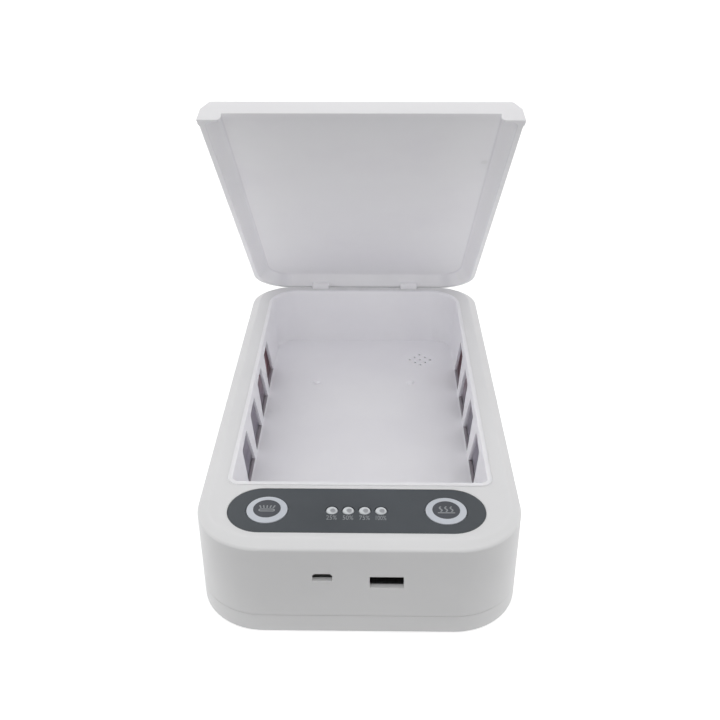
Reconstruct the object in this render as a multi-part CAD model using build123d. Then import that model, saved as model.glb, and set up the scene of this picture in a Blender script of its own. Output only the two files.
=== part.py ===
from build123d import *
from math import radians, sin, tan
import os

# UV sanitizer box for phones, in millimetres.
# +X is to the right of someone at the button end, +Y runs from the buttons to the hinge, +Z is up.
# The origin is the centre of the footprint, on the surface that the box stands on.
# The lid is stored standing open at LID_REST_ANGLE above its closed place.

# ---------------------------------------------------------------- cutters and tolerances
# how far a cutter runs past the outer face it opens, and past the wall it goes through
CUT_PAST = 1.0
CUT_INTO = 0.5
# an edge this near to a plane counts as lying on it
EDGE_TOLERANCE = 0.01

# ---------------------------------------------------------------- outer body
BODY_WIDTH = 122.4
BODY_LENGTH = 222.0
DECK_TOP = 42.4
FRONT_CORNER_RADIUS = 25.6
REAR_CORNER_RADIUS = 20.0
BEVEL_WIDTH = 4.0
BEVEL_DROP = 2.0
BEVEL_TOP_BLEND = 2.5
BEVEL_SIDE_BLEND = 1.2
HOUSING_WALL = 2.2
DECK_THICKNESS = 2.2
PARTING_HEIGHT = 8.8
PARTING_GROOVE = 0.15
FOOT_STANDOFF = 0.3
COVER_FLOOR = 2.2
COVER_EDGE_RADIUS = 1.4
TONGUE_THICKNESS = 1.2
TONGUE_HEIGHT = 2.4
TONGUE_CLEARANCE = 0.15

# ---------------------------------------------------------------- phone chamber
DECK_SIDE_STRIP = 11.3
DECK_FRONT_STRIP = 37.0
DECK_REAR_STRIP = 10.3
MOUTH_FRONT_RADIUS = 3.0
MOUTH_REAR_RADIUS_STEP = 6.0
FLOOR_TOP = 13.6
SIDE_DRAFT = 1.1
FRONT_DRAFT = 1.0
REAR_DRAFT = 3.0
FLOOR_REAR_RADIUS = 10.0
FLOOR_FRONT_RADIUS = 2.0
FLOOR_EDGE_RADIUS = 0.8
TRAY_WALL = 1.4
TRAY_FLOOR = 1.8
TRAY_NECK_GAP = 0.15
BEAD_WIDTH = 1.9
BEAD_HEIGHT = 0.4
BEAD_RADIUS = 0.35

# four slanted lamp windows in each side wall, the first one nearest the hinge
WINDOW_COUNT = 4
WINDOW_PITCH = 27.6
WINDOW_REAR_INSET = 36.4
WINDOW_LOW_WIDTH = 20.8
WINDOW_HIGH_WIDTH = 14.0
WINDOW_LEAN = 6.0
WINDOW_LOW_LIFT = 0.2
WINDOW_HIGH_DEPTH = 5.6
WINDOW_TOP_RISE = 1.0
WINDOW_CORNER_RADIUS = 0.25

# two rest nubs and a diamond of nine aroma holes in the floor
NUB_SIDE_INSET = 25.3
NUB_REAR_INSET = 50.1
NUB_RADIUS = 1.9
NUB_HEIGHT = 1.1
# height of the nub's side that its rounded top leaves straight
NUB_RIM_LEFT = 0.05
AROMA_SIDE_INSET = 19.2
AROMA_REAR_INSET = 25.5
AROMA_ROWS = 3
AROMA_HALF_DIAGONAL = 5.6
AROMA_HOLE_RADIUS = 0.65

# ---------------------------------------------------------------- lid and hinge
LID_INSET = 0.7
LID_RISE = 8.2
LID_SEAT_GAP = 0.3
LID_WALL = 2.3
LID_ROOF = 2.0
LID_DRAFT = 9.0
LID_TOP_CHAMFER = 2.9
LID_TOP_BLEND = 1.0
LID_FRONT_TRIM = 14.0
LID_FRONT_EDGE_RADIUS = 0.5
LID_INNER_SLOPE = 4.6
LID_INNER_RADIUS = 1.8
LID_INNER_FRONT_RADIUS = 2.4
LID_RIM_RADIUS = 0.8
EAR_BEAD_GAP = 0.1
EAR_CORNER_RADIUS = 1.6
EAR_FLARE = 0.45
EAR_FLARE_HEIGHT = 4.6
EAR_FLARE_LENGTH = 4.6
EAR_FLARE_FULL_SHARE = 0.75
# how deep the flare's root sits in the lid's wall, and how far it still stands out where it ends
EAR_FLARE_ROOT = 1.0
EAR_FLARE_END = 0.02
NOTCH_HEIGHT = 2.7
HINGE_REAR_INSET = 3.2
HINGE_DEPTH = 1.6
HINGE_SIDE_INSET = 36.4
KNUCKLE_RADIUS = 2.4
KNUCKLE_WIDTH = 9.1
KNUCKLE_RIB_HEIGHT = 6.2
KNUCKLE_RIB_SINK = 0.4
HINGE_SIDE_GAP = 0.3
HINGE_SWING_GAP = 0.35
HINGE_BLOCK_WIDTH = 5.4
HINGE_BLOCK_DEPTH = 4.4
HINGE_BACKING_INSET = 13.2
HINGE_BACKING_DEPTH = 2.0
HINGE_BACKING_SINK = 2.0
PIN_RADIUS = 1.0
PIN_RUNNING_CLEARANCE = 0.05
PIN_SEAT_CLEARANCE = 0.02
LID_REST_ANGLE = 44.0

MAGNET_OUTSET = 1.1
MAGNET_FRONT_INSET = 42.3
MAGNET_RADIUS = 1.5
MAGNET_HEIGHT = 1.4
MAGNET_POCKET_GAP = 0.03
SENSOR_SIZE = (3.6, 8.0, 2.4)
SENSOR_GAP = 0.6

# ---------------------------------------------------------------- control panel
PANEL_X = -0.9
PANEL_SIDE_MARGIN = 13.0
PANEL_WIDTH = 25.8
PANEL_FRONT_INSET = 20.1
PANEL_THICKNESS = 0.9
PANEL_RECESS = 1.0
PANEL_EDGE_GAP = 0.15
BUTTON_END_INSET = 14.8
BUTTON_RING_RADIUS = 7.65
BUTTON_FACE_RADIUS = 5.15
BUTTON_GAP = 0.3
BUTTON_TRAVEL = 0.5
BUTTON_CROWN = 0.5
BUTTON_RING_EDGE = 0.1
BUTTON_RING_JOINT = 0.03
BUTTON_FLANGE_RADIUS = 8.4
BUTTON_FLANGE_THICKNESS = 1.2
BUTTON_FLANGE_GAP = 0.1
BUTTON_STEM_RADIUS = 2.2
LED_COUNT = 4
LED_PITCH = 6.1
LED_RADIUS = 2.35
LED_GAP = 0.1
LED_PROUD = 0.5
LED_DOME_RADIUS = 1.5
LED_FLANGE_RADIUS = 2.8
LED_FLANGE_HEIGHT = 1.0
LED_BODY_HEIGHT = 7.6
LED_LEAD_RADIUS = 0.25
LED_LEAD_SPACING = 2.54

# ---------------------------------------------------------------- control board
BOARD_SIDE_INSET = 17.2
BOARD_FRONT_INSET = 5.0
BOARD_REAR_GAP = 3.8
BOARD_DEPTH = 13.3
BOARD_THICKNESS = 1.6
BOARD_HOLE_RADIUS = 1.15
BOARD_BOSS_SIDE_INSET = 2.5
BOARD_BOSS_INSET = 3.2
BOARD_BOSS_RADIUS = 2.4
SWITCH_SIZE = 6.2
SWITCH_HEIGHT = 3.6
SWITCH_BORE_DEPTH = 1.8
PLUNGER_RADIUS = 1.7
PLUNGER_GAP = 0.3
PLUNGER_RISE = 1.6
TRANSFORMER_SIZE = (16.0, 11.0, 9.5)
TRANSFORMER_GAP = 3.0
CHIP_SIZE = (10.0, 6.0, 1.6)
CAPACITOR_RADIUS = 3.2
CAPACITOR_LENGTH = 9.0
CAPACITOR_GAP = 3.5
CONNECTOR_SIZE = (7.0, 5.0, 6.0)
CONNECTOR_SIDE_INSET = 5.5
CONNECTOR_INSET = 8.6

# ---------------------------------------------------------------- sockets
USB_A_X = 10.4
USB_A_DROP = 3.75
USB_A_OPENING = (12.4, 5.3)
USB_A_OPENING_RADIUS = 0.3
USB_A_SHELL = (13.1, 5.7, 14.0)
USB_A_TONGUE = (10.6, 1.8, 8.6)
USB_A_TONGUE_RISE = 1.0
USB_A_REAR_BLOCK = 4.0
MICRO_USB_X = -13.0
MICRO_USB_OPENING = (7.3, 3.4)
MICRO_USB_OPENING_DROP = 1.6
MICRO_USB_OPENING_RADIUS = 1.3
MICRO_USB_SHELL = (7.5, 2.9, 5.4)
MICRO_USB_TONGUE = (4.8, 0.6, 3.6)
MICRO_USB_REAR_BLOCK = 1.4
SHELL_SHEET = 0.3
SOCKET_SETBACK = 0.3
SOLDER_TAB_LENGTH = 3.0
SOLDER_TAB_PLACES = (3.2, 9.0)

# ---------------------------------------------------------------- lamps
LAMP_LIFT = 11.0
LAMP_RADIUS = 2.0
LAMP_GLASS = 0.5
LAMP_FRONT_INSET = 24.0
LAMP_REAR_INSET = 38.7
LAMP_END_GRIP = 4.0
LAMP_BOOT_SIDE_GAP = 0.75
FRONT_BOOT_LENGTH = 10.0
FRONT_BOOT_DROP = 5.0
REAR_BOOT_LENGTH = 21.0
REAR_BOOT_DROP = 12.0
LAMP_BOOT_RISE = 4.0
LAMP_BOOT_RADIUS = 1.4
LAMP_FIT = 0.05
LEAD_RADIUS = 0.8
LEAD_BEND = 3.0
# straight run that a lead needs before it turns by a half circle
LEAD_STRAIGHT = 2.5 * LEAD_BEND
LEAD_RUN_INSET = 3.3
LEAD_FLOOR_GAP = 0.1
REFLECTOR_SHEET = 0.4
REFLECTOR_DROP = 1.0
REFLECTOR_RISE = 13.0
REFLECTOR_TRAY_GAP = 0.7
REFLECTOR_END_GAP = 0.5

# ---------------------------------------------------------------- aroma well
WELL_RADIUS = 11.0
WELL_WALL = 1.2
WELL_TOP_GAP = 0.3
PAD_RADIUS = 9.4
PAD_THICKNESS = 4.4
HEATER_RADIUS = 9.0
HEATER_THICKNESS = 1.2

# ---------------------------------------------------------------- fasteners and feet
HOUSING_SCREW_INSET = 6.6
HOUSING_BOSS_RADIUS = 2.6
TRAY_SCREW_SIDE_INSET = 9.9
TRAY_SCREW_FRONT_INSET = 19.0
TRAY_SCREW_REAR_INSET = 38.7
POST_RADIUS = 3.4
POST_SPLIT = 7.6
TRAY_BOSS_RADIUS = 2.6
SCREW_RADIUS = 1.1
SCREW_CLEARANCE = 0.1
SCREW_HEAD_RADIUS = 2.2
SCREW_HEAD_HEIGHT = 1.4
SCREW_HEAD_GAP = 0.25
SCREW_HEAD_DEPTH = 3.4
HOUSING_SCREW_BITE = 8.0
TRAY_SCREW_BITE = 3.0
BOARD_SCREW_BITE = 5.0
DRIVE_SLOT_WIDTH = 0.6
DRIVE_SLOT_DEPTH = 0.6
FOOT_SIDE_INSET = 19.2
FOOT_END_INSET = 27.0
FOOT_RADIUS = 5.0
FOOT_SEAT_DEPTH = 1.0
FOOT_GAP = 0.1
FOOT_EDGE_RADIUS = 0.4

# ---------------------------------------------------------------- derived sizes
HALF_WIDTH = BODY_WIDTH / 2
HALF_LENGTH = BODY_LENGTH / 2
DECK_UNDERSIDE = DECK_TOP - DECK_THICKNESS
COVER_TOP = FOOT_STANDOFF + COVER_FLOOR
INNER_FRONT = -HALF_LENGTH + HOUSING_WALL
INNER_HALF_WIDTH = HALF_WIDTH - HOUSING_WALL

MOUTH_HALF_WIDTH = HALF_WIDTH - DECK_SIDE_STRIP
MOUTH_FRONT = -HALF_LENGTH + DECK_FRONT_STRIP
MOUTH_REAR = HALF_LENGTH - DECK_REAR_STRIP
MOUTH_REAR_RADIUS = REAR_CORNER_RADIUS - MOUTH_REAR_RADIUS_STEP
TRAY_UNDERSIDE = FLOOR_TOP - TRAY_FLOOR
NUB_X = MOUTH_HALF_WIDTH - NUB_SIDE_INSET
NUB_Y = MOUTH_REAR - NUB_REAR_INSET
AROMA_X = MOUTH_HALF_WIDTH - AROMA_SIDE_INSET
AROMA_Y = MOUTH_REAR - AROMA_REAR_INSET

HINGE_X = HALF_WIDTH - HINGE_SIDE_INSET
HINGE_Y = HALF_LENGTH - HINGE_REAR_INSET
HINGE_Z = DECK_TOP - HINGE_DEPTH
HINGE_AXIS = Axis((0, HINGE_Y, HINGE_Z), (1, 0, 0))
HINGE_BACKING_REACH = HALF_WIDTH - HINGE_BACKING_INSET
LID_SEAT = DECK_TOP + LID_SEAT_GAP
LID_TOP = DECK_TOP + LID_RISE
LID_FRONT = MOUTH_FRONT - LID_WALL
LID_HALF_WIDTH = HALF_WIDTH - LID_INSET
LID_REAR = HALF_LENGTH - LID_INSET
LID_REAR_RADIUS = REAR_CORNER_RADIUS - LID_INSET
EAR_INNER_X = MOUTH_HALF_WIDTH + BEAD_WIDTH + EAR_BEAD_GAP
NOTCH_TOP = LID_SEAT + NOTCH_HEIGHT
MAGNET_X = MOUTH_HALF_WIDTH + MAGNET_OUTSET
MAGNET_Y = MOUTH_FRONT + MAGNET_FRONT_INSET
SENSOR_X = MOUTH_HALF_WIDTH + TRAY_WALL + SENSOR_GAP + SENSOR_SIZE[0] / 2

PANEL_LENGTH = BODY_WIDTH - 2 * PANEL_SIDE_MARGIN
PANEL_Y = -HALF_LENGTH + PANEL_FRONT_INSET
PANEL_TOP = DECK_TOP - PANEL_RECESS + PANEL_THICKNESS
BUTTON_REACH = PANEL_LENGTH / 2 - BUTTON_END_INSET
BUTTON_PLACES = {"sterilize": PANEL_X - BUTTON_REACH, "aroma": PANEL_X + BUTTON_REACH}
LED_PLACES = [PANEL_X + (index - (LED_COUNT - 1) / 2) * LED_PITCH for index in range(LED_COUNT)]
FLANGE_TOP = DECK_UNDERSIDE - BUTTON_FLANGE_GAP
FLANGE_BOTTOM = FLANGE_TOP - BUTTON_FLANGE_THICKNESS

BOARD_HALF_WIDTH = HALF_WIDTH - BOARD_SIDE_INSET
BOARD_FRONT = -HALF_LENGTH + BOARD_FRONT_INSET
BOARD_REAR = MOUTH_FRONT - TRAY_WALL - BOARD_REAR_GAP
BOARD_UNDERSIDE = DECK_TOP - BOARD_DEPTH
BOARD_TOP = BOARD_UNDERSIDE + BOARD_THICKNESS
BOARD_BOSS_X = BOARD_HALF_WIDTH - BOARD_BOSS_SIDE_INSET
SWITCH_TOP = BOARD_TOP + SWITCH_HEIGHT
PLUNGER_TOP = SWITCH_TOP + PLUNGER_RISE
CONNECTOR_X = BOARD_HALF_WIDTH - CONNECTOR_SIDE_INSET
CONNECTOR_INNER_X = CONNECTOR_X - CONNECTOR_SIZE[0] / 2
CAPACITOR_X = CONNECTOR_INNER_X - CAPACITOR_GAP - CAPACITOR_LENGTH / 2
TRANSFORMER_X = -(CONNECTOR_INNER_X - TRANSFORMER_GAP - TRANSFORMER_SIZE[0] / 2)
SOCKET_FRONT = INNER_FRONT + SOCKET_SETBACK
USB_A_Z = BOARD_UNDERSIDE - USB_A_DROP
MICRO_USB_OPENING_Z = BOARD_UNDERSIDE - MICRO_USB_OPENING_DROP

TRAY_OUTER_X = MOUTH_HALF_WIDTH + TRAY_WALL
LAMP_X = (TRAY_OUTER_X + INNER_HALF_WIDTH) / 2
LAMP_Z = FLOOR_TOP + LAMP_LIFT
LAMP_FRONT = MOUTH_FRONT + LAMP_FRONT_INSET
LAMP_REAR = MOUTH_REAR - LAMP_REAR_INSET
LAMP_BOOT_WIDTH = INNER_HALF_WIDTH - TRAY_OUTER_X - 2 * LAMP_BOOT_SIDE_GAP
LEAD_RUN_X = MOUTH_HALF_WIDTH - LEAD_RUN_INSET

FRONT_SCREW_STEP = (FRONT_CORNER_RADIUS - HOUSING_SCREW_INSET) * sin(radians(45))
REAR_SCREW_STEP = (REAR_CORNER_RADIUS - HOUSING_SCREW_INSET) * sin(radians(45))
HOUSING_SCREW_PLACES = (
    (
        HALF_WIDTH - FRONT_CORNER_RADIUS + FRONT_SCREW_STEP,
        -HALF_LENGTH + FRONT_CORNER_RADIUS - FRONT_SCREW_STEP,
    ),
    (
        HALF_WIDTH - REAR_CORNER_RADIUS + REAR_SCREW_STEP,
        HALF_LENGTH - REAR_CORNER_RADIUS + REAR_SCREW_STEP,
    ),
)
TRAY_SCREW_X = MOUTH_HALF_WIDTH - TRAY_SCREW_SIDE_INSET
TRAY_SCREW_ROWS = (MOUTH_FRONT + TRAY_SCREW_FRONT_INSET, MOUTH_REAR - TRAY_SCREW_REAR_INSET)
BOARD_SCREW_ROWS = (BOARD_FRONT + BOARD_BOSS_INSET, BOARD_REAR - BOARD_BOSS_INSET)
HOUSING_SCREWS = [(side * x, y) for x, y in HOUSING_SCREW_PLACES for side in (-1, 1)]
TRAY_SCREWS = [(side * TRAY_SCREW_X, y) for y in TRAY_SCREW_ROWS for side in (-1, 1)]
BOARD_SCREWS = [(side * BOARD_BOSS_X, y) for y in BOARD_SCREW_ROWS for side in (-1, 1)]

FOOT_X = HALF_WIDTH - FOOT_SIDE_INSET
FOOT_Y = HALF_LENGTH - FOOT_END_INSET
FEET = {
    "front_left": (-FOOT_X, -FOOT_Y),
    "front_right": (FOOT_X, -FOOT_Y),
    "rear_left": (-FOOT_X, FOOT_Y),
    "rear_right": (FOOT_X, FOOT_Y),
}


# ---------------------------------------------------------------- shared shapes
def plan(half_width, front, rear, front_radius, rear_radius, z=0.0):
    """Flat rounded rectangle with its own radius at each end, at height z."""
    shape = Pos(0, (front + rear) / 2) * Rectangle(2 * half_width, rear - front)
    shape = fillet(shape.vertices().group_by(Axis.Y)[0], front_radius)
    shape = fillet(shape.vertices().group_by(Axis.Y)[-1], rear_radius)
    return Pos(0, 0, z) * shape


def body_plan(inset, z):
    """Outline of the body, moved in by inset."""
    return plan(
        HALF_WIDTH - inset,
        -HALF_LENGTH + inset,
        HALF_LENGTH - inset,
        FRONT_CORNER_RADIUS - inset,
        REAR_CORNER_RADIUS - inset,
        z,
    )


def mouth_plan(outset, z):
    """Outline of the chamber's mouth, moved out by outset."""
    return plan(
        MOUTH_HALF_WIDTH + outset,
        MOUTH_FRONT - outset,
        MOUTH_REAR + outset,
        MOUTH_FRONT_RADIUS + outset,
        MOUTH_REAR_RADIUS + outset,
        z,
    )


def floor_plan(outset, z):
    """Outline of the chamber's floor, moved out by outset."""
    return plan(
        MOUTH_HALF_WIDTH - SIDE_DRAFT + outset,
        MOUTH_FRONT + FRONT_DRAFT - outset,
        MOUTH_REAR - REAR_DRAFT + outset,
        FLOOR_FRONT_RADIUS + outset,
        FLOOR_REAR_RADIUS + outset,
        z,
    )


def edges_at(shape, axis, place):
    """Edges of a shape that lie at one place along an axis."""
    return shape.edges().filter_by_position(axis, place - EDGE_TOLERANCE, place + EDGE_TOLERANCE)


def block(x_range, y_range, z_range):
    """Box between two corners."""
    size = [high - low for low, high in (x_range, y_range, z_range)]
    centre = [(high + low) / 2 for low, high in (x_range, y_range, z_range)]
    return Pos(*centre) * Box(*size)


def centred_block(x, y, size, z_low):
    """Box of a stated size, centred on x and y, standing on z_low."""
    return Pos(x, y, z_low + size[2] / 2) * Box(*size)


def post(x, y, radius, z_low, z_high):
    """Upright cylinder."""
    return Pos(x, y, (z_low + z_high) / 2) * Cylinder(radius, z_high - z_low)


def rod_along_x(radius, x_low, x_high, y, z):
    """Cylinder along X."""
    return Pos((x_low + x_high) / 2, y, z) * Rot(0, 90, 0) * Cylinder(radius, x_high - x_low)


def rod_along_y(radius, x, y_low, y_high, z):
    """Cylinder along Y."""
    return Pos(x, (y_low + y_high) / 2, z) * Rot(90, 0, 0) * Cylinder(radius, y_high - y_low)


def stadium(length, width, x, y, z_low, z_high):
    """Upright plate with half-round ends."""
    outline = Pos(x, y, z_low) * SlotOverall(length, width)
    return extrude(outline, amount=z_high - z_low)


def open_lid(shape):
    """Turn a piece from its closed place to the stored open place."""
    return shape.rotate(HINGE_AXIS, -LID_REST_ANGLE)


def screw(x, y, head_face, bite):
    """Self-tapping screw driven upwards: its head lies below head_face, its shank reaches bite above it."""
    shank = post(x, y, SCREW_RADIUS, head_face, head_face + bite)
    head = post(x, y, SCREW_HEAD_RADIUS, head_face - SCREW_HEAD_HEIGHT, head_face)
    slot_top = head_face - SCREW_HEAD_HEIGHT + DRIVE_SLOT_DEPTH
    slot_length = SCREW_HEAD_RADIUS
    slot_size = (slot_length, DRIVE_SLOT_WIDTH, 2 * DRIVE_SLOT_DEPTH)
    cross = centred_block(x, y, slot_size, slot_top - 2 * DRIVE_SLOT_DEPTH)
    slot_size = (DRIVE_SLOT_WIDTH, slot_length, 2 * DRIVE_SLOT_DEPTH)
    cross += centred_block(x, y, slot_size, slot_top - 2 * DRIVE_SLOT_DEPTH)
    return shank + head - cross


def save(name, shape):
    """Write one node."""
    export_step(shape, f"parts/{name}.step")


# ---------------------------------------------------------------- outer shells
def build_outer_housing():
    """One-piece upper shell: side walls, bevelled deck, panel recess, port mouths, hinge pockets, bosses."""
    shell = extrude(body_plan(0, PARTING_HEIGHT), amount=DECK_TOP - PARTING_HEIGHT)
    top_face = shell.faces().sort_by(Axis.Z)[-1]
    shell = chamfer(top_face.edges(), length=BEVEL_WIDTH, length2=BEVEL_DROP, reference=top_face)
    top_edges = shell.faces().sort_by(Axis.Z)[-1].edges()
    shell = fillet(top_edges, BEVEL_TOP_BLEND)
    shoulder = DECK_TOP - BEVEL_DROP
    shell = fillet(edges_at(shell, Axis.Z, shoulder), BEVEL_SIDE_BLEND)
    shell -= extrude(body_plan(HOUSING_WALL, PARTING_HEIGHT), amount=DECK_UNDERSIDE - PARTING_HEIGHT)
    shell -= extrude(mouth_plan(TRAY_WALL + TRAY_NECK_GAP, DECK_UNDERSIDE), amount=DECK_THICKNESS)
    shell -= parting_groove()

    recess_floor = DECK_TOP - PANEL_RECESS
    recess_length = PANEL_LENGTH + 2 * PANEL_EDGE_GAP
    recess_width = PANEL_WIDTH + 2 * PANEL_EDGE_GAP
    shell -= stadium(recess_length, recess_width, PANEL_X, PANEL_Y, recess_floor, DECK_TOP)
    for x in BUTTON_PLACES.values():
        shell -= post(x, PANEL_Y, BUTTON_RING_RADIUS + BUTTON_GAP, DECK_UNDERSIDE, DECK_TOP)
    for x in LED_PLACES:
        shell -= post(x, PANEL_Y, LED_RADIUS + LED_GAP, DECK_UNDERSIDE, DECK_TOP)

    for x, y in HOUSING_SCREWS:
        shell += post(x, y, HOUSING_BOSS_RADIUS, POST_SPLIT, DECK_UNDERSIDE)
        shell -= post(x, y, SCREW_RADIUS + SCREW_CLEARANCE, POST_SPLIT, POST_SPLIT + HOUSING_SCREW_BITE)
    for x, y in BOARD_SCREWS:
        shell += post(x, y, BOARD_BOSS_RADIUS, BOARD_TOP, DECK_UNDERSIDE)
        shell -= post(x, y, SCREW_RADIUS + SCREW_CLEARANCE, BOARD_TOP, BOARD_TOP + BOARD_SCREW_BITE)

    shell -= front_opening(USB_A_X, USB_A_Z, USB_A_OPENING, USB_A_OPENING_RADIUS)
    shell -= front_opening(MICRO_USB_X, MICRO_USB_OPENING_Z, MICRO_USB_OPENING, MICRO_USB_OPENING_RADIUS)
    return hinge_seats(shell)


def parting_groove():
    """Shadow line around the body where the bottom cover meets the upper shell."""
    outer = body_plan(-CUT_PAST, PARTING_HEIGHT)
    return extrude(outer - body_plan(PARTING_GROOVE, PARTING_HEIGHT), amount=PARTING_GROOVE)


def front_opening(x, z, size, radius):
    """Cutter for a socket's mouth in the front wall, with rounded upper corners."""
    outline = Rectangle(*size)
    outline = fillet(outline.vertices().group_by(Axis.Y)[-1], radius)
    start = Plane(origin=(x, -HALF_LENGTH - CUT_PAST, z), x_dir=(1, 0, 0), z_dir=(0, -1, 0))
    return extrude(start * outline, amount=-(CUT_PAST + HOUSING_WALL + CUT_INTO))


def hinge_seats(shell):
    """Add the pin blocks, then cut the lid's swing step, the knuckle pockets and the pin bores."""
    pocket_half = KNUCKLE_WIDTH / 2 + HINGE_SIDE_GAP
    block_reach = pocket_half + HINGE_BLOCK_WIDTH
    pocket_front = HINGE_Y - KNUCKLE_RADIUS - HINGE_SWING_GAP
    pocket_floor = HINGE_Z - KNUCKLE_RADIUS - HINGE_SWING_GAP
    step_floor = HINGE_Z - (LID_REAR - HINGE_Y) - LID_SEAT_GAP
    step_front = HINGE_Y + (LID_SEAT - HINGE_Z) - LID_SEAT_GAP
    block_low = HINGE_Z - HINGE_BLOCK_DEPTH
    inner_rear = HALF_LENGTH - HOUSING_WALL
    backing_x = (-HINGE_BACKING_REACH, HINGE_BACKING_REACH)
    backing_y = (inner_rear - HINGE_BACKING_DEPTH, HALF_LENGTH)
    backing = block(backing_x, backing_y, (step_floor - HINGE_BACKING_SINK, DECK_UNDERSIDE))
    shell += backing & extrude(body_plan(HOUSING_WALL / 2, PARTING_HEIGHT), amount=DECK_TOP - PARTING_HEIGHT)
    for side in (-1, 1):
        x = side * HINGE_X
        pin_block_depth = (pocket_front, inner_rear)
        shell += block((x - block_reach, x + block_reach), pin_block_depth, (block_low, DECK_UNDERSIDE))
        pocket_depth = (pocket_front, HALF_LENGTH + CUT_PAST)
        shell -= block((x - pocket_half, x + pocket_half), pocket_depth, (pocket_floor, DECK_TOP + CUT_PAST))
        shell -= rod_along_x(
            PIN_RADIUS + PIN_SEAT_CLEARANCE,
            x - block_reach,
            x + block_reach,
            HINGE_Y,
            HINGE_Z,
        )
    step_depth = (step_front, HALF_LENGTH + CUT_PAST)
    shell -= block((-HALF_WIDTH, HALF_WIDTH), step_depth, (step_floor, DECK_TOP + CUT_PAST))
    return shell


def build_bottom_cover():
    """Shallow base pan with its locating tongue, screw posts, tray posts, lamp posts and aroma well."""
    pan = extrude(body_plan(0, FOOT_STANDOFF), amount=PARTING_HEIGHT - FOOT_STANDOFF)
    pan = fillet(pan.faces().sort_by(Axis.Z)[0].edges(), COVER_EDGE_RADIUS)
    pan -= extrude(body_plan(HOUSING_WALL, COVER_TOP), amount=PARTING_HEIGHT - COVER_TOP)
    tongue_inset = HOUSING_WALL + TONGUE_CLEARANCE
    tongue = body_plan(tongue_inset, COVER_TOP) - body_plan(tongue_inset + TONGUE_THICKNESS, COVER_TOP)
    wall_fill = body_plan(HOUSING_WALL, COVER_TOP) - body_plan(tongue_inset + TONGUE_THICKNESS, COVER_TOP)
    pan += extrude(wall_fill, amount=PARTING_HEIGHT - COVER_TOP)
    pan += extrude(tongue, amount=PARTING_HEIGHT + TONGUE_HEIGHT - COVER_TOP)

    for x, y in HOUSING_SCREWS + TRAY_SCREWS:
        pan += post(x, y, POST_RADIUS, COVER_TOP, POST_SPLIT)
    pan += post(AROMA_X, AROMA_Y, WELL_RADIUS, COVER_TOP, TRAY_UNDERSIDE - WELL_TOP_GAP)
    pan -= post(AROMA_X, AROMA_Y, WELL_RADIUS - WELL_WALL, COVER_TOP, TRAY_UNDERSIDE)
    for side in (-1, 1):
        for boot_range, drop in (front_boot_range(), rear_boot_range()):
            x_range = sorted((side * (LAMP_X - LAMP_BOOT_WIDTH / 2), side * (LAMP_X + LAMP_BOOT_WIDTH / 2)))
            pan += block(x_range, boot_range, (COVER_TOP, LAMP_Z - drop))

    for x, y in HOUSING_SCREWS + TRAY_SCREWS:
        head_face = FOOT_STANDOFF + SCREW_HEAD_DEPTH
        pan -= post(x, y, SCREW_HEAD_RADIUS + SCREW_HEAD_GAP, FOOT_STANDOFF, head_face)
        pan -= post(x, y, SCREW_RADIUS + SCREW_CLEARANCE, head_face, POST_SPLIT)
    for x, y in FEET.values():
        pan -= post(x, y, FOOT_RADIUS + FOOT_GAP, FOOT_STANDOFF, FOOT_STANDOFF + FOOT_SEAT_DEPTH)
    return pan


def build_foot(x, y):
    """Round rubber foot, glued into its seat."""
    foot = post(x, y, FOOT_RADIUS, 0, FOOT_STANDOFF + FOOT_SEAT_DEPTH)
    return fillet(foot.edges().group_by(Axis.Z)[0], FOOT_EDGE_RADIUS)


# ---------------------------------------------------------------- chamber
def window_cutter(index, side):
    """Slanted four-sided window through a side wall of the chamber."""
    low_rear = MOUTH_REAR - WINDOW_REAR_INSET - index * WINDOW_PITCH
    low_front = low_rear - WINDOW_LOW_WIDTH
    high_front = low_front - WINDOW_LEAN
    low = FLOOR_TOP + WINDOW_LOW_LIFT
    high = DECK_TOP - WINDOW_HIGH_DEPTH
    corners = [
        (low_front, low),
        (low_rear, low),
        (high_front + WINDOW_HIGH_WIDTH, high + WINDOW_TOP_RISE),
        (high_front, high),
    ]
    outline = make_face(Polyline(*corners, close=True))
    outline = fillet(outline.vertices(), WINDOW_CORNER_RADIUS)
    start = MOUTH_HALF_WIDTH - SIDE_DRAFT - CUT_PAST
    mouth = Plane(origin=(side * start, 0, 0), x_dir=(0, 1, 0), z_dir=(1, 0, 0)) * outline
    return extrude(mouth, amount=side * (SIDE_DRAFT + TRAY_WALL + 2 * CUT_PAST))


def aroma_holes():
    """Centres of the aroma holes: a square grid turned by 45 degrees."""
    step = AROMA_HALF_DIAGONAL / (AROMA_ROWS - 1)
    return [
        (AROMA_X + (row - column) * step, AROMA_Y + (row + column - AROMA_ROWS + 1) * step)
        for row in range(AROMA_ROWS)
        for column in range(AROMA_ROWS)
    ]


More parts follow.
